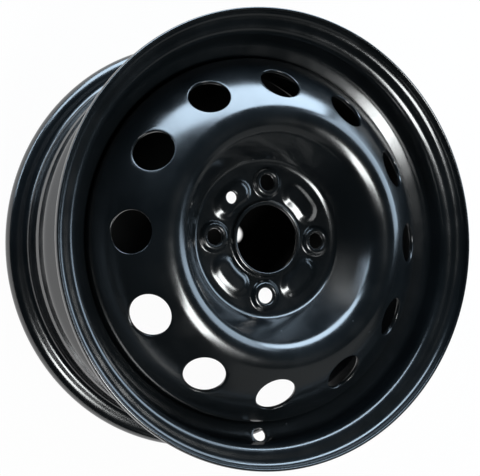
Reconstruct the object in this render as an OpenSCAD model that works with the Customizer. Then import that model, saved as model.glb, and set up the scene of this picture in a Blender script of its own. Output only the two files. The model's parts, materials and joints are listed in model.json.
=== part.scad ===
// Pressed steel road wheel: a rolled drop-centre rim, a pressed disc and the welds that join them.
// Millimetres. The axis is Z with the outboard face up, and z = 0 is the middle plane of the rim.

/* [Rim] */
// Bead seat diameter at the flange
bead_d = 354.8; // [345:0.1:370]
// Width between the tyre faces of the two flanges
rim_w = 139.7; // [132:0.1:165]
// Height of a flange above its bead seat
flange_h = 17.3; // [16:0.1:20]
// Width of a flange from its tyre face to the tip of its lip
flange_b = 13; // [11.5:0.1:14.5]
// Curl radius of a flange on its tyre side
curl_r = 9.5; // [8:0.1:10]
// Corner radius between a flange and its bead seat
corner_r = 6.5; // [4:0.1:7]
// Taper of the bead seats in degrees
seat_taper = 5; // [3:0.5:7]
// Width of the outboard bead seat
seat_out_w = 23.5; // [20:0.5:26]
// Width of the inboard bead seat
seat_in_w = 20; // [18:0.5:22]
// Height of the rolled safety hump beside the inboard bead seat
hump_h = 1.2; // [0.6:0.1:2]
// Width of the safety hump
hump_w = 11; // [9:0.5:13]
// Depth of the well below the bead seat diameter
well_depth = 17.3; // [15:0.1:20]
// Width of the well floor
well_w = 30.5; // [28:0.5:34]
// Angle between the axis and the outboard side of the well, in degrees
well_side_angle = 55; // [48:1:65]
// Angle between the axis and the inboard ramp of the well, in degrees
ramp_angle = 28; // [24:1:36]
// Sheet thickness of the rim
rim_t = 2.3; // [2:0.1:3]
// Diameter of the valve hole
valve_hole_d = 11.5; // [8.5:0.1:12]
// Distance of the valve hole's centre from the edge of the outboard bead seat, along the side of the well
valve_down = 6.3; // [6.2:0.1:9]

/* [Disc] */
// Offset of the hub face from the middle of the rim
wheel_offset = 48; // [45:0.5:50]
// Sheet thickness of the disc
disc_t = 3.5; // [3:0.1:4.2]
// Diameter of the centre bore
bore_d = 58.1; // [54:0.1:60]
// Height of the bore lip above the hub plate
bore_lip_h = 4.5; // [4:0.1:6]
// Fillet radius at the foot of the bore lip
bore_lip_r = 2; // [1.5:0.1:2.4]
// Diameter of the hub plate at the foot of the dish wall
plate_d = 131; // [129:0.5:136]
// Angle between the dish wall and the hub plate, in degrees
dish_angle = 57; // [53:1:61]
// Height of the crown above the tip of the outboard lip
crown_rise = 9.5; // [5:0.5:11]
// Width of the crown between its two corners
crown_w = 15.7; // [13:0.1:19]
// Angle between the shoulder beside the crown and the hub plate, in degrees
shoulder_angle = 31; // [28:0.5:34]
// Width of the shoulder, in plan
shoulder_w = 24.5; // [22:0.5:27]
// Angle between the vented face and the hub plate, in degrees
face_angle = 48; // [45:0.5:50]
// Fillet radius at the foot of the dish wall
dish_fillet = 8; // [5:0.5:10]
// Fillet radius on the inner corner of the crown
crown_in_fillet = 12; // [8:0.5:14]
// Fillet radius on the outer corner of the crown
crown_out_fillet = 18; // [12:0.5:24]
// Largest bend radius between the shoulder and the vented face
face_bend_r = 150; // [80:1:160]
// Fillet radius between the vented face and the outer flange
flange_fillet = 9; // [6:0.5:12]
// Length of the outer flange that lies on the well floor
flange_len = 20; // [16:0.5:22]
// Radial clearance of the outer flange in the well
disc_fit = 0.1; // [0.05:0.05:0.3]

/* [Vent holes] */
// Number of vent holes
vent_count = 12; // [6:1:12]
// Diameter of a vent hole
vent_d = 35; // [26:0.5:36]
// Diameter of the circle through the vent holes
vent_circle_d = 265; // [262:0.5:270]

/* [Hub fixing] */
// Number of wheel bolts
bolt_count = 4; // [3:1:4]
// Diameter of the bolt circle
bolt_circle_d = 98; // [96:0.5:100]
// Diameter of a bolt hole
bolt_hole_d = 13.5; // [12.5:0.1:14.5]
// Included angle of a conical bolt seat, in degrees
bolt_seat_angle = 60; // [56:1:66]
// Straight length of a bolt hole under its conical seat
bolt_land = 1.4; // [1:0.1:2]
// Height of the boss that is pressed out round a bolt hole
boss_h = 3.5; // [2.5:0.1:4]
// Diameter of a boss at its foot
boss_d = 28; // [26:0.5:28.5]
// Height of the pads that are pressed out between the bolts
pad_h = 2.5; // [2:0.1:3]
// Width of the top of a pad
pad_w = 15; // [13.5:0.5:16]
// Angle between the round ends of a pad, in degrees
pad_span = 21; // [16:1:26]
// Diameter of the circle through the pads and the locating pin hole
pad_circle_d = 96; // [95:0.5:98]
// Diameter of the locating pin hole
pin_hole_d = 10.5; // [8:0.1:11]

/* [Welds] */
// Number of weld beads
weld_count = 8; // [4:1:10]
// Length of a weld bead as an angle, in degrees
weld_span = 24; // [14:1:30]
// Leg of the weld bead
weld_leg = 4; // [3:0.1:5]
// Gap that keeps a weld bead's faces clear of the sheets
weld_gap = 0.05; // [0.02:0.01:0.2]

/* [Hidden] */
paint = "#16191c";
$fn = 96;
// Largest turn of one straight step in a bend, in degrees, and its largest length
bend_step = 9;
bend_length = 5;
// How far a cut runs past the faces that it opens
over = 1;
// Slopes of the pressed sides of a pad and of a boss, in degrees
pad_side_angle = 45;
boss_side_angle = 48;
// Bend radii of the rim on its tyre side
seat_bend_r = 5;
well_bend_r = 6;
ramp_bend_r = 12;
hump_bend_r = 7;

bead_r = bead_d / 2;
rim_r = bead_r + flange_h;
wall_z = rim_w / 2;
lip_z = wall_z + flange_b;
curl_centre = [rim_r - curl_r, wall_z + curl_r];
lip_angle = asin((flange_b - curl_r - rim_t / 2) / (curl_r - rim_t / 2));
corner_fit_r = min(corner_r, 0.85 * (flange_h - curl_r));

well_r = bead_r - well_depth;
well_in_r = well_r - rim_t;
seat_out_end = [bead_r - seat_out_w * tan(seat_taper), wall_z - seat_out_w];
seat_in_end = [bead_r - seat_in_w * tan(seat_taper), seat_in_w - wall_z];
land_z = seat_in_end.y + hump_w;
well_out_z = seat_out_end.y - (seat_out_end.x - well_r) / tan(well_side_angle);
well_in_z = well_out_z - well_w;
ramp_top_z = well_in_z - (seat_in_end.x - well_r) / tan(ramp_angle);

hub_face_z = wheel_offset;
plate_z = hub_face_z + disc_t;
crown_z = lip_z + crown_rise;
plate_r = plate_d / 2;
crown_in_r = plate_r + (crown_z - plate_z) / tan(dish_angle);
crown_out_r = crown_in_r + crown_w;
face_bend = [crown_out_r + shoulder_w, crown_z - shoulder_w * tan(shoulder_angle)];
// The shoulder takes the end of the crown's fillet and half of the bend to the face
face_room = 0.98 * shoulder_w / cos(shoulder_angle) - crown_out_fillet * tan(shoulder_angle / 2);
face_turn = face_angle - shoulder_angle;
face_fit_r = min(face_bend_r, face_room / tan(face_turn / 2));
face_mid = (face_angle + shoulder_angle) / 2;
face_centre = face_bend - face_fit_r / cos(face_turn / 2) * [sin(face_mid), cos(face_mid)];
flange_r = well_in_r - disc_fit;
flange_top_z = face_z(flange_r);
flange_end_z = well_out_z - flange_len;

bolt_seat_z = hub_face_z + boss_h + bolt_land;
bolt_circle_r = bolt_circle_d / 2;
pad_circle_r = pad_circle_d / 2;
vent_circle_r = vent_circle_d / 2;
// Slope and height of the bend at the circle through the vent holes
vent_angle = asin((vent_circle_r - face_centre.x) / face_fit_r);
vent_z = face_centre.y + face_fit_r * cos(vent_angle);
// Angles of the valve hole and of the locating pin hole about the axis
valve_angle = -90;
pin_angle = 1.5 * 360 / bolt_count;

function unit(v) = v / norm(v);
function left(a, b) = let (u = unit(b - a)) [-u.y, u.x];
function reversed(list) = [for (i = [len(list) - 1:-1:0]) list[i]];
function turned(v, a) = [v.x * cos(a) - v.y * sin(a), v.x * sin(a) + v.y * cos(a)];
// Height of the vented face's straight line at radius r
function face_z(r) = face_bend.y - (r - face_bend.x) * tan(face_angle);

// Points of the arc round c from angle a to angle b
function arc(c, r, a, b) =
    let (n = ceil(abs(b - a) * max(1 / bend_step, r * PI / 180 / bend_length)))
    [for (k = [0:n]) c + r * [cos(a + (b - a) * k / n), sin(a + (b - a) * k / n)]];

// Points of a bend of radius r at corner p, between the corners before and after it
function bend(before, p, after, r) =
    let (u = unit(before - p),
         w = unit(after - p),
         half = acos(u * w) / 2,
         c = p + unit(u + w) * r / sin(half),
         from = p + u * r / tan(half) - c,
         side = sign(u.y * w.x - u.x * w.y),
         a = atan2(from.y, from.x))
    arc(c, r, a, a + side * (180 - 2 * half));

// A path of [x, y, bend radius] corners with its bends rounded
function rounded(path) =
    let (p = [for (v = path) [v.x, v.y]], last = len(path) - 1)
    [for (i = [0:last])
        each (i == 0 || i == last || path[i].z == 0) ? [p[i]] : bend(p[i - 1], p[i], p[i + 1], path[i].z)];

// A path moved sideways by d, to its left where d is positive
function shifted(p, d) =
    let (last = len(p) - 1)
    [for (i = [0:last])
        let (n = left(p[max(i - 1, 0)], p[max(i, 1)]),
             m = left(p[min(i, last - 1)], p[min(i + 1, last)]))
        p[i] + d * (n + m) / (1 + n * m)];

// Half-round sheet edge that turns from point a to point b
function round_edge(a, b) =
    let (c = (a + b) / 2, n = ceil(180 / bend_step))
    [for (k = [1:n - 1]) c + turned(a - c, -180 * k / n)];

// Curl of the flange on one side, from its lip to its wall
function flange_curl(side) =
    [for (p = concat(arc(curl_centre, curl_r, lip_angle, 0), arc(curl_centre, curl_r, -bend_step, -90)))
        [p.x, side * p.y, 0]];

function rim_outline() =
    let (tyre_side = rounded(concat(
            flange_curl(1),
            [[bead_r, wall_z, corner_fit_r],
             [seat_out_end.x, seat_out_end.y, seat_bend_r],
             [well_r, well_out_z, well_bend_r],
             [well_r, well_in_z, ramp_bend_r],
             [seat_in_end.x, ramp_top_z, ramp_bend_r],
             [seat_in_end.x, land_z, hump_bend_r],
             [seat_in_end.x + hump_h, land_z - hump_w / 2, hump_bend_r],
             [seat_in_end.x, seat_in_end.y, hump_bend_r],
             [bead_r, -wall_z, corner_fit_r]],
            reversed(flange_curl(-1)))),
         hub_side = shifted(tyre_side, -rim_t),
         last = len(tyre_side) - 1)
    concat(tyre_side,
           round_edge(tyre_side[last], hub_side[last]),
           reversed(hub_side),
           round_edge(hub_side[0], tyre_side[0]));

function disc_outline() =
    let (front = rounded([
            [bore_d / 2 + disc_t, plate_z + bore_lip_h, 0],
            [bore_d / 2 + disc_t, plate_z, bore_lip_r],
            [plate_r, plate_z, dish_fillet],
            [crown_in_r, crown_z, crown_in_fillet],
            [crown_out_r, crown_z, crown_out_fillet],
            [face_bend.x, face_bend.y, face_fit_r],
            [flange_r, flange_top_z, flange_fillet],
            [flange_r, flange_end_z, 0]]))
    concat(front, reversed(shifted(front, -disc_t)));

// Valve hole, square to the outboard side of the well
module valve_hole() {
    centre = seat_out_end + valve_down * unit([well_r, well_out_z] - seat_out_end);
    rotate([0, 0, valve_angle])
        translate([centre.x, 0, centre.y])
            rotate([0, well_side_angle - 90, 0])
                cylinder(h = 5 * rim_t, d = valve_hole_d, center = true);
}

// Round-ended kidney that widens downwards from half width w at height top to height z
module kidney(w, top, z) {
    w_foot = w + (top - z) / tan(pad_side_angle);
    rotate([0, 0, -pad_span / 2])
        rotate_extrude(angle = pad_span)
            polygon([[pad_circle_r - w_foot, z], [pad_circle_r + w_foot, z],
                     [pad_circle_r + w, top], [pad_circle_r - w, top]]);
    for (a = [-1, 1])
        rotate([0, 0, a * pad_span / 2])
            translate([pad_circle_r, 0, z])
                cylinder(h = top - z, r1 = w_foot, r2 = w);
}

module at_pads() {
    for (k = [0:bolt_count - 1])
        rotate([0, 0, (k + 0.5) * 360 / bolt_count])
            children();
}

module at_bolts() {
    for (k = [0:bolt_count - 1])
        rotate([0, 0, k * 360 / bolt_count])
            translate([bolt_circle_r, 0, 0])
                children();
}

// Cone of a boss from height z to its top, with radius r at height foot
module boss(r, foot, z) {
    slope = 1 / tan(boss_side_angle);
    translate([0, 0, z])
        cylinder(h = foot + boss_h - z, r1 = r + (foot - z) * slope, r2 = r - boss_h * slope);
}

// Bolt hole with its conical seat
module bolt_hole() {
    rise = plate_z + boss_h + over - bolt_seat_z;
    translate([0, 0, hub_face_z - over])
        cylinder(h = disc_t + boss_h + 2 * over, d = bolt_hole_d);
    translate([0, 0, bolt_seat_z])
        cylinder(h = rise, d1 = bolt_hole_d, d2 = bolt_hole_d + 2 * rise * tan(bolt_seat_angle / 2));
}

module vent_holes() {
    for (k = [0:vent_count - 1])
        rotate([0, 0, valve_angle + k * 360 / vent_count])
            translate([vent_circle_r, 0, vent_z])
                rotate([0, vent_angle, 0])
                    cylinder(h = 6 * disc_t, d = vent_d, center = true);
}

module pin_hole() {
    rotate([0, 0, pin_angle])
        translate([pad_circle_r, 0, hub_face_z - over])
            cylinder(h = disc_t + pad_h + 2 * over, d = pin_hole_d);
}

// Rolled drop-centre rim
module rim_barrel() {
    color(paint)
        difference() {
            rotate_extrude()
                polygon(rim_outline());
            valve_hole();
        }
}

// Pressed disc with its bosses, bolt seats, pads and vent holes
module wheel_disc() {
    pad_back_w = pad_w / 2 - disc_t * tan(pad_side_angle / 2);
    boss_back_r = boss_d / 2 - disc_t * tan(boss_side_angle / 2);
    inside_z = plate_z - disc_t / 2;
    color(paint)
        difference() {
            union() {
                rotate_extrude()
                    polygon(disc_outline());
                at_pads()
                    kidney(pad_w / 2, plate_z + pad_h, inside_z);
                at_bolts()
                    boss(boss_d / 2, plate_z, inside_z);
            }
            at_pads()
                kidney(pad_back_w, hub_face_z + pad_h, hub_face_z - over);
            at_bolts()
                boss(boss_back_r, hub_face_z, hub_face_z - over);
            at_bolts()
                bolt_hole();
            pin_hole();
            vent_holes();
        }
}

// Fillet welds between the end of the disc's flange and the well
module weld_beads() {
    color(paint)
        for (k = [0:weld_count - 1])
            rotate([0, 0, (k + 0.5) * 360 / weld_count - weld_span / 2])
                rotate_extrude(angle = weld_span)
                    translate([well_in_r - weld_gap, flange_end_z - weld_gap])
                        intersection() {
                            circle(r = weld_leg);
                            translate([-weld_leg, -weld_leg])
                                square(weld_leg);
                        }
}

rim_barrel();
wheel_disc();
weld_beads();
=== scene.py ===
import json
import math

import bmesh
import bpy
import numpy as np
from mathutils import Matrix, Vector


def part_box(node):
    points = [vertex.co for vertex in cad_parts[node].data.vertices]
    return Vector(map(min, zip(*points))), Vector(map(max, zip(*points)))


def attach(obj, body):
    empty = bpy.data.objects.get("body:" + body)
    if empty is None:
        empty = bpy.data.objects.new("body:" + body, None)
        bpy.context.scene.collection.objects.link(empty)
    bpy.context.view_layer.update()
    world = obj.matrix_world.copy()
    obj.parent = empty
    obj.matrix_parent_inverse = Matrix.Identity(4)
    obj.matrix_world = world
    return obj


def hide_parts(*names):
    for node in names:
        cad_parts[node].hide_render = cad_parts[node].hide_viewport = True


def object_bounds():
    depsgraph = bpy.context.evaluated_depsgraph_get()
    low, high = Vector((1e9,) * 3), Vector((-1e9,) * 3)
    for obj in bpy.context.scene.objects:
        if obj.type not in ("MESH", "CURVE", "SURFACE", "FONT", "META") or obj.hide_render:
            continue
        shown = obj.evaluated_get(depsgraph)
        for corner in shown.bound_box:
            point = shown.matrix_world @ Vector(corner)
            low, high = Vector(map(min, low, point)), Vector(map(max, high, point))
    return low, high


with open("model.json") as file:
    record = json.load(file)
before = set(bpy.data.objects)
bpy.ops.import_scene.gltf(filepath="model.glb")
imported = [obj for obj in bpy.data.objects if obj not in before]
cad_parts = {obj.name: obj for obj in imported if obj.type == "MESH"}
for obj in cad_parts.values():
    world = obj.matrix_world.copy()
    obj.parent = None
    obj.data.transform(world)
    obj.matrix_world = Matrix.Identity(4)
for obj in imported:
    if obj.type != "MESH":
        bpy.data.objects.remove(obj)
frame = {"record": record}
cad_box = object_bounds()

# Lengths are in millimetres and angles in degrees until a mesh is made.
MM = 0.001
TURN = 240            # steps round the axis
STEP = 360 / TURN
FIRST_ANGLE = -90     # angle of column 0, at the valve hole
BEND_STEP = 6         # largest turn of one step in a bend of a mesh
FINE_STEP = 1         # the same in the sections that points are projected on
LONG_STEP = 1.7       # largest length of one step along a section
PLATE_STEP = 0.9      # the same on the hub plate
RIM_STEP = 3          # the same on the straight runs of the rim
EDGE_STEP = 15        # largest turn of one step in the rounded end of a sheet
EDGE_TURNS = (30, 60, 90)   # turns of the rings in a hole's rounded edge
LIP_STEPS = 8         # steps in the half round of a lip

# Sizes that the frame gives
mounts = {mount["name"]: mount for mount in frame["record"]["mounts"]}
RIM_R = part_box("rim_barrel")[1].x / MM
LIP_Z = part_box("rim_barrel")[1].z / MM
DISC_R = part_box("wheel_disc")[1].x / MM
CROWN_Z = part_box("wheel_disc")[1].z / MM
DISC_END_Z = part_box("wheel_disc")[0].z / MM
HUB_FACE_Z = mounts["hub_face"]["pos_m"][2] / MM
BORE_R = mounts["centre_bore"]["dims"]["r_mm"]
BOLT_CIRCLE_R = mounts["hub_bolts"]["dims"]["pcd_mm"] / 2
BOLT_COUNT = mounts["hub_bolts"]["dims"]["count"]
BOLT_R = mounts["hub_bolts"]["dims"]["hole_r_mm"]
PIN_R = mounts["locating_pin_hole"]["dims"]["r_mm"]
PIN_CIRCLE_R = math.hypot(*mounts["locating_pin_hole"]["pos_m"][:2]) / MM
VALVE_R = mounts["valve_hole"]["dims"]["r_mm"]

# Rim section
RIM_T = 2.3
FLANGE_H = 17.3
FLANGE_B = 13
CURL_R = 9.5
CORNER_R = 6.5
SEAT_TAPER = 5
SEAT_OUT_W = 23.5
SEAT_IN_W = 20
SEAT_BEND_R = 12
HUMP_H = 1.2
HUMP_W = 11
HUMP_BEND_R = 7
WELL_DEPTH = 17.3
WELL_W = 30.5
WELL_SIDE_ANGLE = 61
WELL_BEND_R = 6
RAMP_ANGLE = 28
RAMP_BEND_R = 12
VALVE_FLAT_R = 8.5    # flattened seat round the valve hole
VALVE_BLEND = 5

# Disc section
DISC_T = 3.5
BORE_LIP_H = 4.5
BORE_LIP_R = 2
PLATE_R = 67.9
DISH_ANGLE = 59.5
DISH_FILLET = 8
CROWN_W = 15.7
CROWN_IN_FILLET = 18
CROWN_OUT_FILLET = 18
SHOULDER_ANGLE = 31
SHOULDER_W = 24.5
FACE_BEND_R = 150
FACE_ANGLE = 48
FLANGE_FILLET = 9
DISC_EDGE_R = 0.7
LIP_EDGE_R = 1.6

# Holes and pressings of the disc
VENT_COUNT = 12
VENT_R = 17.5
VENT_CIRCLE_R = 132.5
HOLE_EDGE_R = 0.8     # rounding of punched edges
PAD_H = 2.5
PAD_HALF_W = 6.8
PAD_SPAN = 22
PAD_CIRCLE_R = 47.3
PAD_SIDE_ANGLE = 32
BOSS_H = 3.5
BOSS_R = 13.4
BOSS_SIDE_ANGLE = 57
BOLT_SEAT_ANGLE = 60
BOLT_LAND = 1.4
PRESS_ROUND = 1.8     # blend of the pressed edges
FOOT_ROUND = 1.4      # blend at the feet of pads and bosses
SEAT_ROUND = 1.0      # blend of the coined bolt seats

# Windows that the meshes leave for holes: half their columns, and their reach across the rows
VALVE_COLUMNS = 4
VENT_COLUMNS = 8
VENT_REACH_IN = VENT_R + 2.6
VENT_REACH_OUT = VENT_R + 4
BOLT_COLUMNS = 13
BOLT_REACH = 16
PIN_COLUMNS = 6
PIN_REACH = 8
# Radii of the rings round a bolt hole, closer at the bends, outboard and inboard
BOSS_RINGS = (14.4, 14.0, 13.6, 13.1, 12.4, 11.8, 11.3, 10.8, 10.3, 9.7, 8.8, 8.3, 8.1, 7.9)
HOLLOW_RINGS = (13.4, 12.9, 12.4, 11.8, 11.0, 10.2, 9.6, 9.2, 8.6)

# Welds
WELD_COUNT = 8
WELD_SPAN = 24
WELD_LEG = 4
FIT_GAP = 0.1         # between the disc's flange and the well
WELD_GAP = 0.05
RIPPLE_PITCH = 2.6
RIPPLE = 0.05
RIPPLE_STEPS = 6      # steps along one ripple
WELD_FACE_POINTS = 10
WELD_END = 0.08       # share of the leg that is left at an end

BEAD_R = RIM_R - FLANGE_H
WALL_Z = LIP_Z - FLANGE_B
WELL_R = BEAD_R - WELL_DEPTH
PLATE_Z = HUB_FACE_Z + DISC_T
LIP_FOOT_R = BORE_R + DISC_T + BORE_LIP_R
BOLT_SEAT_Z = HUB_FACE_Z + BOSS_H + BOLT_LAND
CROWN_IN_R = PLATE_R + (CROWN_Z - PLATE_Z) / math.tan(math.radians(DISH_ANGLE))
CROWN_OUT_R = CROWN_IN_R + CROWN_W
FACE_BEND_AT = CROWN_OUT_R + SHOULDER_W
FACE_BEND_Z = CROWN_Z - SHOULDER_W * math.tan(math.radians(SHOULDER_ANGLE))
PIN_ANGLE = 1.5 * 360 / BOLT_COUNT


# Sections

def unit(v):
    return v / np.linalg.norm(v)


def slope(angle):
    return math.tan(math.radians(angle))


def face_z(r):
    """Height of the vented face's straight line at radius r."""
    return FACE_BEND_Z - (r - FACE_BEND_AT) * slope(FACE_ANGLE)


def arc(centre, r, start, end, step):
    length = r * math.radians(abs(end - start))
    count = max(1, math.ceil(abs(end - start) / step), math.ceil(length / LONG_STEP))
    turn = np.radians(np.linspace(start, end, count + 1))
    return centre + r * np.column_stack((np.cos(turn), np.sin(turn)))


def bend(before, corner, after, r, step):
    """Points of a bend of radius r at a corner, between its neighbours."""
    u, w = unit(before - corner), unit(after - corner)
    half = math.acos(np.dot(u, w)) / 2
    centre = corner + unit(u + w) * r / math.sin(half)
    start = corner + u * r / math.tan(half) - centre
    angle = math.degrees(math.atan2(start[1], start[0]))
    side = np.sign(u[1] * w[0] - u[0] * w[1])
    return arc(centre, r, angle, angle + side * (180 - 2 * math.degrees(half)), step)


def rounded(corners, step):
    """A path of (r, z, bend radius) corners with its bends rounded."""
    path = np.array([c[:2] for c in corners], float)
    rows = [path[:1]]
    for i in range(1, len(path) - 1):
        r = corners[i][2]
        rows.append(bend(*path[i - 1:i + 2], r, step) if r else path[i:i + 1])
    rows.append(path[-1:])
    return np.vstack(rows)


def spaced(path, longest, plate_longest=None):
    """A path with its longer steps divided, more finely on the hub plate."""
    rows = [path[:1]]
    for a, b in zip(path, path[1:]):
        limit = plate_longest if plate_longest and b[0] < PLATE_R else longest
        count = max(1, math.ceil(np.linalg.norm(b - a) / limit))
        rows.append(a + np.linspace(0, 1, count + 1)[1:, None] * (b - a))
    return np.vstack(rows)


def left_normals(path):
    step = np.diff(path, axis=0)
    step /= np.linalg.norm(step, axis=1)[:, None]
    return np.column_stack((-step[:, 1], step[:, 0]))


def shifted(path, d):
    """A path moved sideways by d, to its left where d is positive."""
    left = left_normals(path)
    before = np.vstack((left[:1], left))
    after = np.vstack((left, left[-1:]))
    return path + d * (before + after) / (1 + np.sum(before * after, axis=1))[:, None]


def half_round(a, b, count):
    """Inner points of a half circle that turns clockwise from a to b."""
    centre = (a + b) / 2
    turn = -np.radians(180 * np.arange(1, count) / count)
    x, y = a - centre
    return centre + np.column_stack((x * np.cos(turn) - y * np.sin(turn),
                                     x * np.sin(turn) + y * np.cos(turn)))


def rim_path(step):
    """Tyre side of the rim from the outboard lip to the inboard lip."""
    curl_centre = np.array([RIM_R - CURL_R, WALL_Z + CURL_R])
    rise = (FLANGE_B - CURL_R - RIM_T / 2) / (CURL_R - RIM_T / 2)
    curl = arc(curl_centre, CURL_R, math.degrees(math.asin(rise)), -90, step)
    out_r = BEAD_R - SEAT_OUT_W * slope(SEAT_TAPER)
    out_z = WALL_Z - SEAT_OUT_W
    in_r = BEAD_R - SEAT_IN_W * slope(SEAT_TAPER)
    in_z = SEAT_IN_W - WALL_Z
    well_out_z = out_z - (out_r - WELL_R) / slope(WELL_SIDE_ANGLE)
    well_in_z = well_out_z - WELL_W
    ramp_top_z = well_in_z - (in_r - WELL_R) / slope(RAMP_ANGLE)
    middle = [(BEAD_R, WALL_Z, CORNER_R), (out_r, out_z, SEAT_BEND_R),
              (WELL_R, well_out_z, WELL_BEND_R), (WELL_R, well_in_z, RAMP_BEND_R),
              (in_r, ramp_top_z, RAMP_BEND_R), (in_r, in_z + HUMP_W, HUMP_BEND_R),
              (in_r + HUMP_H, in_z + HUMP_W / 2, HUMP_BEND_R), (in_r, in_z, HUMP_BEND_R),
              (BEAD_R, -WALL_Z, CORNER_R)]
    lip_out = [(r, z, 0) for r, z in curl]
    lip_in = [(r, -z, 0) for r, z in curl[::-1]]
    return rounded(lip_out + middle + lip_in, step)


def disc_path(step):
    """Outboard side of the disc from the end of the bore lip to the end of the flange."""
    lip_r = BORE_R + DISC_T
    return rounded([(lip_r, PLATE_Z + BORE_LIP_H, 0), (lip_r, PLATE_Z, BORE_LIP_R),
                    (PLATE_R, PLATE_Z, DISH_FILLET), (CROWN_IN_R, CROWN_Z, CROWN_IN_FILLET),
                    (CROWN_OUT_R, CROWN_Z, CROWN_OUT_FILLET),
                    (FACE_BEND_AT, FACE_BEND_Z, FACE_BEND_R),
                    (DISC_R, face_z(DISC_R), FLANGE_FILLET), (DISC_R, DISC_END_Z, 0)], step)


# Meshes

class Skin:
    """Points and faces of one piece while it is built."""

    def __init__(self):
        self.points = []
        self.count = 0
        self.faces = []

    def add(self, points):
        """Adds points and returns their numbers in the same layout."""
        points = np.asarray(points, float)
        start = self.count
        self.points.append(points.reshape(-1, 3))
        self.count += len(self.points[-1])
        return np.arange(start, self.count).reshape(points.shape[:-1])

    def bridge(self, rows):
        """Quads between closed rows of points."""
        for a, b in zip(rows, rows[1:]):
            self.faces += np.stack((a, b, np.roll(b, -1), np.roll(a, -1)), -1).tolist()

    def piece(self, name, material):
        """One smooth object of the faces, with the points that no face uses left out."""
        used = sorted({k for face in self.faces for k in face})
        number = {k: n for n, k in enumerate(used)}
        points = np.vstack(self.points)[used] * MM
        mesh = bpy.data.meshes.new(name)
        mesh.from_pydata(points.tolist(), [], [[number[k] for k in f] for f in self.faces])
        build = bmesh.new()
        build.from_mesh(mesh)
        bmesh.ops.recalc_face_normals(build, faces=build.faces)
        build.to_mesh(mesh)
        build.free()
        mesh.shade_smooth()
        mesh.materials.append(material)
        obj = bpy.data.objects.new(name, mesh)
        bpy.context.scene.collection.objects.link(obj)
        return obj


def lathe(section):
    """One row of points round the axis for each point of a section."""
    turn = np.radians(FIRST_ANGLE + STEP * np.arange(TURN))
    r, z = section[:, :1], section[:, 1:]
    return np.stack((r * np.cos(turn), r * np.sin(turn), z + 0 * turn), -1)


def column(angle):
    return round((angle - FIRST_ANGLE) / STEP)


def rows_between(path, low, high):
    """First and last row of a path whose radius or other measure lies in a range."""
    rows = np.nonzero((path > low) & (path < high))[0]
    return rows[0], rows[-1]


def window(rows, angle, half_columns):
    middle = column(angle)
    return (*rows, middle - half_columns, middle + half_columns)


def border(grid, first, last, start, end):
    """Numbers of the points round a window of a grid."""
    across = np.arange(start, end + 1) % TURN
    return np.concatenate((grid[first, across[:-1]], grid[first:last, across[-1]],
                           grid[last, across[:0:-1]], grid[last:first:-1, across[0]]))


def add_sheet(skin, front, back, start_cap, end_cap, windows):
    """Both sides and the ends of a sheet, open at its windows."""
    closed = np.ones((len(front) - 1, TURN), bool)
    for first, last, start, end in windows:
        closed[first:last, np.arange(start, end) % TURN] = False
    grids = skin.add(front), skin.add(back)
    for grid in grids:
        for i, j in zip(*np.nonzero(closed)):
            k = (j + 1) % TURN
            skin.faces.append([grid[i, j], grid[i + 1, j], grid[i + 1, k], grid[i, k]])
    for row, cap in ((0, start_cap), (-1, end_cap)):
        skin.bridge([grids[0][row], *skin.add(lathe(cap)), grids[1][row]])
    return grids


def add_hole(skin, grids, opening, hole, place, radius, rings=((), ()), layers=4):
    """Rings of quads from a window's border on one side of a sheet, through a round hole, to
    its border on the other side. hole is the centre with two directions across and the axis,
    place puts points on a side, and rings are radii of further rings on each side."""
    centre, across, along, axis = hole
    points = np.vstack(skin.points)
    ends = [border(grid, *opening) for grid in grids]
    flat = [np.column_stack(((points[e] - centre) @ across, (points[e] - centre) @ along))
            for e in ends]
    direction = flat[0] / np.linalg.norm(flat[0], axis=1)[:, None]

    def at(q, side):
        return place(centre + q[:, :1] * across + q[:, 1:] * along, side)

    made = []
    for side, outward in ((0, 1), (1, -1)):
        radii = [*rings[side], radius + HOLE_EDGE_R]
        shares = np.arange(1, layers + 1) / (layers + 1)
        row = [at(flat[side] + s * (direction * radii[0] - flat[side]), side) for s in shares]
        row += [at(direction * r, side) for r in radii]
        for turn in np.radians(EDGE_TURNS):
            edge = at(direction * (radius + HOLE_EDGE_R * (1 - math.sin(turn))), side)
            row.append(edge - outward * HOLE_EDGE_R * (1 - math.cos(turn)) * axis)
        made.append([skin.add(r) for r in row])
    skin.bridge([ends[0], *made[0], *made[1][::-1], ends[1]])


def section_gap(section, r, z):
    """Distance of points to the left of a section, with the section's normal there."""
    a, d = section[:-1], np.diff(section, axis=0)
    p = np.stack((r, z), -1)[:, None]
    share = np.clip(np.sum((p - a) * d, -1) / np.sum(d * d, -1), 0, 1)
    away = p - (a + share[..., None] * d)
    nearest = np.argmin(np.linalg.norm(away, axis=-1), axis=1)
    normal = left_normals(section)[nearest]
    return np.sum(away[np.arange(len(r)), nearest] * normal, -1), normal


def onto(section, points, axis, passes=12):
    """Points moved along an axis onto a revolved section."""
    moved = points.copy()
    for _ in range(passes):
        r = np.hypot(moved[:, 0], moved[:, 1])
        gap, normal = section_gap(section, r, moved[:, 2])
        facing = np.column_stack((moved[:, :2] / r[:, None] * normal[:, :1], normal[:, 1:]))
        moved = moved - (gap / (facing @ axis))[:, None] * axis
    return moved


def turned_frame(angle, r, z, tilt):
    """Centre, outward direction, sideways direction and axis of a hole at an angle about Z,
    with its axis tilted outwards from Z."""
    out = np.array([math.cos(math.radians(angle)), math.sin(math.radians(angle)), 0])
    up = np.array([0, 0, 1.0])
    c, s = math.cos(math.radians(tilt)), math.sin(math.radians(tilt))
    return r * out + z * up, c * out - s * up, np.cross(up, out), s * out + c * up


# Pressed shape of the hub plate

def blend_min(a, b, width):
    """Smaller of two heights with the edge between them rounded."""
    share = np.maximum(width - np.abs(a - b), 0) / width
    return np.minimum(a, b) - share ** 2 * width / 4


def blend_max(a, b, width):
    return -blend_min(-a, -b, width)


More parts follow.
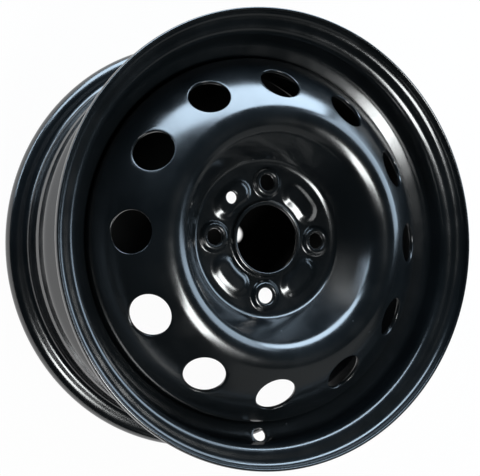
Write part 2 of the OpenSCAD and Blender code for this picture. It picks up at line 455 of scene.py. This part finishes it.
def repeat_angle(x, y, first):
    """Angle of points from the nearest of the bolt circle's repeats."""
    pitch = 360 / BOLT_COUNT
    angle = np.degrees(np.arctan2(y, x)) - first
    return (angle + pitch / 2) % pitch - pitch / 2


def pad_distance(x, y):
    """Distance of points from the middle line of the nearest pad."""
    r = np.hypot(x, y)
    turn = np.abs(repeat_angle(x, y, 180 / BOLT_COUNT))
    past = np.radians(np.maximum(turn - PAD_SPAN / 2, 0))
    return np.hypot(r * np.cos(past) - PAD_CIRCLE_R, r * np.sin(past))


def bolt_distance(x, y):
    r = np.hypot(x, y)
    turn = np.radians(repeat_angle(x, y, 0))
    return np.hypot(r * np.cos(turn) - BOLT_CIRCLE_R, r * np.sin(turn))


def pressed_out(points, base, pad_half_w, boss_r):
    """A side of the disc with pads and bosses pressed out of its plate at height base."""
    x, y, z = np.moveaxis(points, -1, 0)
    pad = PAD_H - (pad_distance(x, y) - pad_half_w) * slope(PAD_SIDE_ANGLE)
    boss = (boss_r - bolt_distance(x, y)) * slope(BOSS_SIDE_ANGLE)
    for side, top in ((pad, PAD_H), (boss, BOSS_H)):
        z = blend_max(z, base + blend_min(top + 0 * z, side, PRESS_ROUND), FOOT_ROUND)
    return x, y, z


def press_front(points):
    """Outboard side of the disc with its pads, bosses and bolt seats."""
    x, y, z = pressed_out(points, PLATE_Z, PAD_HALF_W, BOSS_R)
    seat = BOLT_SEAT_Z + (bolt_distance(x, y) - BOLT_R) / slope(BOLT_SEAT_ANGLE / 2)
    return np.stack((x, y, blend_min(z, seat, SEAT_ROUND)), -1)


def press_back(points):
    """Inboard side of the disc with the hollows of its pads and bosses."""
    pad_half_w = PAD_HALF_W - DISC_T * slope(PAD_SIDE_ANGLE / 2)
    boss_r = BOSS_R - DISC_T * slope(BOSS_SIDE_ANGLE / 2)
    return np.stack(pressed_out(points, HUB_FACE_Z, pad_half_w, boss_r), -1)


# Pieces

def make_rim(material):
    tyre = spaced(rim_path(BEND_STEP), RIM_STEP)
    hub = shifted(tyre, -RIM_T)
    fine = rim_path(FINE_STEP)
    sides = fine, shifted(fine, -RIM_T)
    start_cap = half_round(hub[0], tyre[0], LIP_STEPS)[::-1]
    end_cap = half_round(tyre[-1], hub[-1], LIP_STEPS)

    side = math.radians(WELL_SIDE_ANGLE)
    outward = np.array([0, -math.cos(side), -math.sin(side)])
    middle = np.array(mounts["valve_hole"]["pos_m"]) / MM
    centre = onto(fine, middle[None], outward)[0]
    sideways = np.array([1.0, 0, 0])
    hole = centre, np.cross(sideways, outward), sideways, outward
    centre_rz = np.array([np.hypot(centre[0], centre[1]), centre[2]])
    reach = np.linalg.norm(tyre - centre_rz, axis=1)
    rows = rows_between(reach, -1, VALVE_FLAT_R + VALVE_BLEND)
    opening = window(rows, FIRST_ANGLE, VALVE_COLUMNS)

    def place(points, side):
        """Points on the rim, which is flattened round the valve hole."""
        on_rim = onto(sides[side], points, outward)
        on_flat = points - side * RIM_T * outward
        away = np.linalg.norm(points - centre, axis=1)[:, None]
        share = np.clip((VALVE_FLAT_R + VALVE_BLEND - away) / VALVE_BLEND, 0, 1)
        return on_rim + share ** 2 * (3 - 2 * share) * (on_flat - on_rim)

    skin = Skin()
    grids = add_sheet(skin, lathe(tyre), lathe(hub), start_cap, end_cap, [opening])
    add_hole(skin, grids, opening, hole, place, VALVE_R, layers=6)
    return skin.piece("rim_skin", material)


def make_disc(material):
    front = spaced(disc_path(BEND_STEP), LONG_STEP, PLATE_STEP)
    back = shifted(front, -DISC_T)
    fine = disc_path(FINE_STEP)
    sides = fine, shifted(fine, -DISC_T)
    start_cap = edge_cap(front, back, 0, 1, LIP_EDGE_R)
    end_cap = edge_cap(front, back, -1, -2, DISC_EDGE_R)

    vent_z, vent_tilt = vent_place()
    vent = np.array([VENT_CIRCLE_R, vent_z])
    downhill = np.array([math.cos(math.radians(vent_tilt)), -math.sin(math.radians(vent_tilt))])
    vent_rows = rows_between((front - vent) @ downhill, -VENT_REACH_IN, VENT_REACH_OUT)
    vent_angles = [FIRST_ANGLE + k * 360 / VENT_COUNT for k in range(VENT_COUNT)]
    bolt_angles = [k * 360 / BOLT_COUNT for k in range(BOLT_COUNT)]
    bolt_rows = plate_rows(front, BOLT_CIRCLE_R, BOLT_REACH)
    pin_rows = plate_rows(front, PIN_CIRCLE_R, PIN_REACH)
    vents = [window(vent_rows, a, VENT_COLUMNS) for a in vent_angles]
    bolts = [window(bolt_rows, a, BOLT_COLUMNS) for a in bolt_angles]
    pin = window(pin_rows, PIN_ANGLE, PIN_COLUMNS)

    skin = Skin()
    grids = add_sheet(skin, press_front(lathe(front)), press_back(lathe(back)),
                      start_cap, end_cap, [*vents, *bolts, pin])
    for angle, opening in zip(vent_angles, vents):
        hole = turned_frame(angle, *vent, vent_tilt)
        add_hole(skin, grids, opening, hole, lambda p, side: onto(sides[side], p, hole[3]), VENT_R)

    def on_plate(points, side):
        r = np.hypot(points[:, 0], points[:, 1])
        flat = sides[side][len(arc_rows(sides[side])):]
        z = np.interp(r, flat[:, 0], flat[:, 1])
        return (press_front, press_back)[side](np.column_stack((points[:, :2], z)))

    for angle, opening in zip(bolt_angles, bolts):
        hole = turned_frame(angle, BOLT_CIRCLE_R, PLATE_Z, 0)
        add_hole(skin, grids, opening, hole, on_plate, BOLT_R, (BOSS_RINGS, HOLLOW_RINGS), layers=1)
    add_hole(skin, grids, pin, turned_frame(PIN_ANGLE, PIN_CIRCLE_R, PLATE_Z, 0), on_plate, PIN_R)
    return skin.piece("disc_skin", material)


def arc_rows(path):
    """Rows of the bore lip, before the hub plate's flat."""
    return path[:np.nonzero(path[:, 0] < LIP_FOOT_R - 1e-6)[0].max() + 1]


def plate_rows(front, circle_r, reach):
    """First and last row of the hub plate within reach of a circle."""
    on_plate = (front[:, 0] > LIP_FOOT_R - 1e-6) & (np.abs(front[:, 1] - PLATE_Z) < 2)
    measure = np.where(on_plate, front[:, 0] - circle_r, reach + 1)
    return rows_between(measure, -reach, reach)


def vent_place():
    """Height and slope of the bend between shoulder and face at the circle of the vent holes."""
    half_turn = math.radians(FACE_ANGLE - SHOULDER_ANGLE) / 2
    middle = math.radians(FACE_ANGLE + SHOULDER_ANGLE) / 2
    away = FACE_BEND_R / math.cos(half_turn)
    centre_r = FACE_BEND_AT - away * math.sin(middle)
    centre_z = FACE_BEND_Z - away * math.cos(middle)
    tilt = math.asin((VENT_CIRCLE_R - centre_r) / FACE_BEND_R)
    return centre_z + FACE_BEND_R * math.cos(tilt), math.degrees(tilt)


def edge_cap(front, back, end, inner, r):
    """Rounded end of a sheet between its two sides, which it shortens to the rounding."""
    bends = [bend(front[inner], front[end], back[end], r, EDGE_STEP),
             bend(front[end], back[end], back[inner], r, EDGE_STEP)]
    front[end], back[end] = bends[0][0], bends[1][-1]
    return np.vstack((bends[0][1:], bends[1][:-1]))


def make_welds(material):
    """Fillet beads with the ripples of a run of weld."""
    corner = np.array([DISC_R + FIT_GAP - WELD_GAP, DISC_END_Z - WELD_GAP])
    length = math.radians(WELD_SPAN) * corner[0]
    count = round(length / RIPPLE_PITCH) * RIPPLE_STEPS
    along = np.linspace(0, 1, count + 1)
    ends = np.minimum(along, 1 - along) * length / WELD_LEG
    rise = np.sqrt(1 - np.maximum(1 - ends, 0) ** 2)
    wave = 1 - RIPPLE * (1 + np.cos(2 * np.pi * along * length / RIPPLE_PITCH))
    leg = WELD_LEG * np.maximum(rise, WELD_END) * wave
    face = np.radians(np.linspace(180, 270, WELD_FACE_POINTS))
    profile = np.vstack(([[0, 0]], np.column_stack((np.cos(face), np.sin(face)))))
    skin = Skin()
    for k in range(WELD_COUNT):
        start = (k + 0.5) * 360 / WELD_COUNT - WELD_SPAN / 2
        turn = np.radians(start + along * WELD_SPAN)[:, None]
        r = corner[0] + leg[:, None] * profile[:, 0]
        z = corner[1] + leg[:, None] * profile[:, 1]
        rows = skin.add(np.stack((r * np.cos(turn), r * np.sin(turn), z), -1))
        skin.bridge(list(rows))
        skin.faces += [rows[0].tolist(), rows[-1].tolist()]
    return skin.piece("weld_skin", material)


# Materials

def new_material(name):
    material = bpy.data.materials.new(name)
    material.use_nodes = True
    material.node_tree.nodes.clear()
    return material


def add_node(tree, kind, settings=None, **inputs):
    """A node with its settings, and its inputs by name as values or as linked sockets."""
    node = tree.nodes.new(kind)
    for key, value in (settings or {}).items():
        setattr(node, key, value)
    for key, value in inputs.items():
        socket = node.inputs[int(key[1:])] if key[1:].isdigit() else node.inputs[key.replace("_", " ")]
        if isinstance(value, bpy.types.NodeSocket):
            tree.links.new(value, socket)
        else:
            socket.default_value = value
    return node


def colour_mix(tree, factor, a, b):
    node = add_node(tree, "ShaderNodeMix", {"data_type": "RGBA"}, i0=factor, i6=a, i7=b)
    return node.outputs[2]


def math_node(tree, operation, a, b=0.0):
    return add_node(tree, "ShaderNodeMath", {"operation": operation}, i0=a, i1=b).outputs[0]


def ramp(tree, value, low, high, to_low=0.0, to_high=1.0):
    node = add_node(tree, "ShaderNodeMapRange", {"interpolation_type": "SMOOTHSTEP"}, Value=value,
                    From_Min=low, From_Max=high, To_Min=to_low, To_Max=to_high)
    return node.outputs[0]


def noise(tree, place, scale, detail=3.0):
    return add_node(tree, "ShaderNodeTexNoise", Vector=place, Scale=scale, Detail=detail).outputs[0]


PAINT_IOR = 1.9
PAINT_COLOURS = (0.004, 0.0055, 0.0065, 1), (0.007, 0.009, 0.0105, 1)
PAINT_ROUGHNESS = 0.17, 0.23
DUST_COLOUR = (0.16, 0.17, 0.18, 1)
DUST_ROUGHNESS = 0.3  # what a speck adds
PEEL_DEPTH = 0.0002   # in metres


def paint_material():
    """Dipped black paint: near black, glossy, with slight orange peel and a few dust specks."""
    material = new_material("black_paint_gloss")
    tree = material.node_tree
    place = add_node(tree, "ShaderNodeTexCoord").outputs["Object"]
    cloud = ramp(tree, noise(tree, place, 14.0), 0.3, 0.7)
    colour = colour_mix(tree, cloud, *PAINT_COLOURS)
    cells = add_node(tree, "ShaderNodeTexVoronoi", Vector=place, Scale=170.0)
    near = ramp(tree, cells.outputs["Distance"], 0.05, 0.1, 1.0, 0.0)
    few = ramp(tree, noise(tree, place, 23.0), 0.64, 0.72)
    speck = math_node(tree, "MULTIPLY", near, few)
    colour = colour_mix(tree, speck, colour, DUST_COLOUR)
    rough = ramp(tree, noise(tree, place, 45.0, 4.0), 0.3, 0.7, *PAINT_ROUGHNESS)
    rough = math_node(tree, "ADD", rough, math_node(tree, "MULTIPLY", speck, DUST_ROUGHNESS))
    peel = noise(tree, place, 260.0, 1.0)
    bump = add_node(tree, "ShaderNodeBump", Strength=0.012, Distance=PEEL_DEPTH, Height=peel)
    shader = add_node(tree, "ShaderNodeBsdfPrincipled", Base_Color=colour, Roughness=rough,
                      Normal=bump.outputs[0], IOR=PAINT_IOR)
    add_node(tree, "ShaderNodeOutputMaterial", Surface=shader.outputs[0])
    return material


# Floor, in metres
FLOOR_HALF = 12.0
FLOOR_Z = cad_box[0].z
FLOOR_GLOW = 0.97                 # share of plain white in the floor near the wheel
FLOOR_FADE = 0.5, 1.0             # distances from the axis between which that share ends
FLOOR_COLOUR = (0.85, 0.85, 0.85, 1)
FAR_COLOUR = (0.3, 0.3, 0.3, 1)
# painted shade: a near-black floor colour laid under the wheel in place of its shadow
PAINTED_SHADE_COLOUR = (0.03, 0.03, 0.03, 1)
SHADE_RIM = 0.93, 0.97            # edge of the painted shade under the wheel, in shares of the rim's radius
SHADE_Y = -0.045, -0.03           # edge towards the valve hole
SHADE_SLANT = 0.3                 # slope of the edge on the right
SHADE_X = 0.068, 0.078            # where that edge crosses the X axis
SPOT_EDGE = 0.002
PAINTED_LIGHT_SPOTS = (((0.0296, 0.0473, FLOOR_Z), 0.009),   # painted pools of light in the painted shade, seen through pin hole and bore
         ((0.034, 0.011, FLOOR_Z), 0.008))


def floor_material():
    """White floor with a painted shade under the wheel's upper and right part, and painted pools of
    light in that shade.
    """
    material = new_material("studio_floor")
    tree = material.node_tree
    path = add_node(tree, "ShaderNodeLightPath").outputs
    seen = math_node(tree, "MAXIMUM", path["Is Camera Ray"], path["Is Glossy Ray"])
    seen = math_node(tree, "MAXIMUM", seen, path["Is Transmission Ray"])
    spot = add_node(tree, "ShaderNodeNewGeometry").outputs["Position"]
    parts = add_node(tree, "ShaderNodeSeparateXYZ", Vector=spot).outputs
    flat = add_node(tree, "ShaderNodeCombineXYZ", X=parts["X"], Y=parts["Y"]).outputs[0]
    reach = add_node(tree, "ShaderNodeVectorMath", {"operation": "LENGTH"}, i0=flat).outputs["Value"]
    under = ramp(tree, reach, *[RIM_R * MM * share for share in SHADE_RIM], 1.0, 0.0)
    aslant = math_node(tree, "ADD", parts["X"], math_node(tree, "MULTIPLY", parts["Y"], SHADE_SLANT))
    behind = math_node(tree, "MAXIMUM", ramp(tree, parts["Y"], *SHADE_Y),
                       ramp(tree, aslant, *SHADE_X))
    # painted pools of light: round holes cut into the painted shade, where the floor stays white
    for place, r in PAINTED_LIGHT_SPOTS:
        away = add_node(tree, "ShaderNodeVectorMath", {"operation": "DISTANCE"}, i0=spot, i1=place)
        dark = ramp(tree, away.outputs["Value"], r - SPOT_EDGE, r + SPOT_EDGE)
        behind = math_node(tree, "MULTIPLY", behind, dark)
    # the painted shade darkens the floor's colour and turns off its white glow there
    shade = math_node(tree, "MULTIPLY", under, behind)
    far = ramp(tree, reach, *FLOOR_FADE)
    lit = math_node(tree, "SUBTRACT", 1.0, math_node(tree, "MAXIMUM", shade, far))
    glow = math_node(tree, "MULTIPLY", seen, math_node(tree, "MULTIPLY", lit, FLOOR_GLOW))
    colour = colour_mix(tree, far, FLOOR_COLOUR, FAR_COLOUR)
    colour = colour_mix(tree, shade, colour, PAINTED_SHADE_COLOUR)
    base = add_node(tree, "ShaderNodeBsdfDiffuse", Color=colour).outputs[0]
    white = add_node(tree, "ShaderNodeEmission", Color=(1, 1, 1, 1), Strength=1.0).outputs[0]
    mix = add_node(tree, "ShaderNodeMixShader", i0=glow, i1=base, i2=white).outputs[0]
    add_node(tree, "ShaderNodeOutputMaterial", Surface=mix)
    return material


# Stage, in metres

CAMERA_PLACE = Vector((-0.41885, -0.04708, 0.86893))
CAMERA_FORWARD = Vector((0.43376, 0.05159, -0.89955))
CAMERA_UP = Vector((-0.03724, 0.99853, 0.03931))
CAMERA_LENS = 79.74      # in millimetres, as Blender takes both
CAMERA_SENSOR = 36.0
WORLD_COLOUR = (0.7, 0.8, 0.9, 1)
WORLD_STRENGTH = 0.008
COOL = (0.78, 1.0, 1.22)
WARM = (0.97, 1.0, 1.0)
# Name, place, direction of the first side, sides, brightness, colour and facing of each lamp
LIGHTS = (
    ("window_light", (0.43, 1.75, 0.5), (1, 0, 0), (2.34, 1.1), 7.2, COOL, (0, -1, 0)),
    ("window_middle", (-1.1, 1.75, 0.68), (1, 0, 0), (0.72, 0.74), 6.4, COOL, (0, -1, 0)),
    ("window_end", (-2.0, 1.3, 0.23), (0.545, 0.839, 0), (1.25, 0.22), 9.0, COOL, (0.839, -0.545, 0)),
    ("side_light", (1.53, 0.71, 0.62), (-0.42, 0.91, 0), (1.25, 1.2), 3.0, COOL),
    ("top_strip", (-0.05, -0.4, 0.98), (0.43, 0.36, 0.18), (0.59, 0.23), 15.0, WARM),
    ("low_fill", (1.0, -1.3, 0.6), (0.8, 0.6, 0), (2.2, 1.1), 0.16, WARM),
)


def make_floor():
    signs = (-1, -1), (1, -1), (1, 1), (-1, 1)
    corners = [(x * FLOOR_HALF, y * FLOOR_HALF, FLOOR_Z) for x, y in signs]
    mesh = bpy.data.meshes.new("floor")
    mesh.from_pydata(corners, [], [(0, 1, 2, 3)])
    mesh.materials.append(floor_material())
    floor = bpy.data.objects.new("floor", mesh)
    bpy.context.scene.collection.objects.link(floor)


def add_light(name, place, along, size, radiance, colour, facing=None):
    """Soft box of an even brightness with its first side along a direction, which faces the
    middle of the object where no facing is given."""
    light = bpy.data.lights.new(name, "AREA")
    light.shape = "RECTANGLE"
    light.size, light.size_y = size
    light.energy = radiance * math.pi * size[0] * size[1]
    light.color = colour
    obj = bpy.data.objects.new(name, light)
    back = -Vector(facing) if facing else Vector(place).normalized()
    up = back.cross(Vector(along)).normalized()
    turn = Matrix((up.cross(back), up, back)).transposed().to_4x4()
    obj.matrix_world = Matrix.Translation(place) @ turn
    obj.visible_camera = False
    bpy.context.scene.collection.objects.link(obj)


def make_camera():
    data = bpy.data.cameras.new("camera")
    data.lens = CAMERA_LENS
    data.sensor_width = CAMERA_SENSOR
    camera = bpy.data.objects.new("camera", data)
    right = CAMERA_FORWARD.cross(CAMERA_UP).normalized()
    up = right.cross(CAMERA_FORWARD)
    turn = Matrix((right, up, -CAMERA_FORWARD)).transposed().to_4x4()
    camera.matrix_world = Matrix.Translation(CAMERA_PLACE) @ turn
    bpy.context.scene.collection.objects.link(camera)
    bpy.context.scene.camera = camera


def make_world():
    world = bpy.data.worlds.new("studio")
    world.use_nodes = True
    back = world.node_tree.nodes["Background"]
    back.inputs["Color"].default_value = WORLD_COLOUR
    back.inputs["Strength"].default_value = WORLD_STRENGTH
    bpy.context.scene.world = world


paint = paint_material()
for made, replaced in ((make_rim(paint), "rim_barrel"), (make_disc(paint), "wheel_disc"),
                       (make_welds(paint), "weld_beads")):
    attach(made, "root")
    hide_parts(replaced)

make_floor()
make_camera()
make_world()
for light in LIGHTS:
    add_light(*light)

bpy.context.scene.view_settings.view_transform = "Standard"
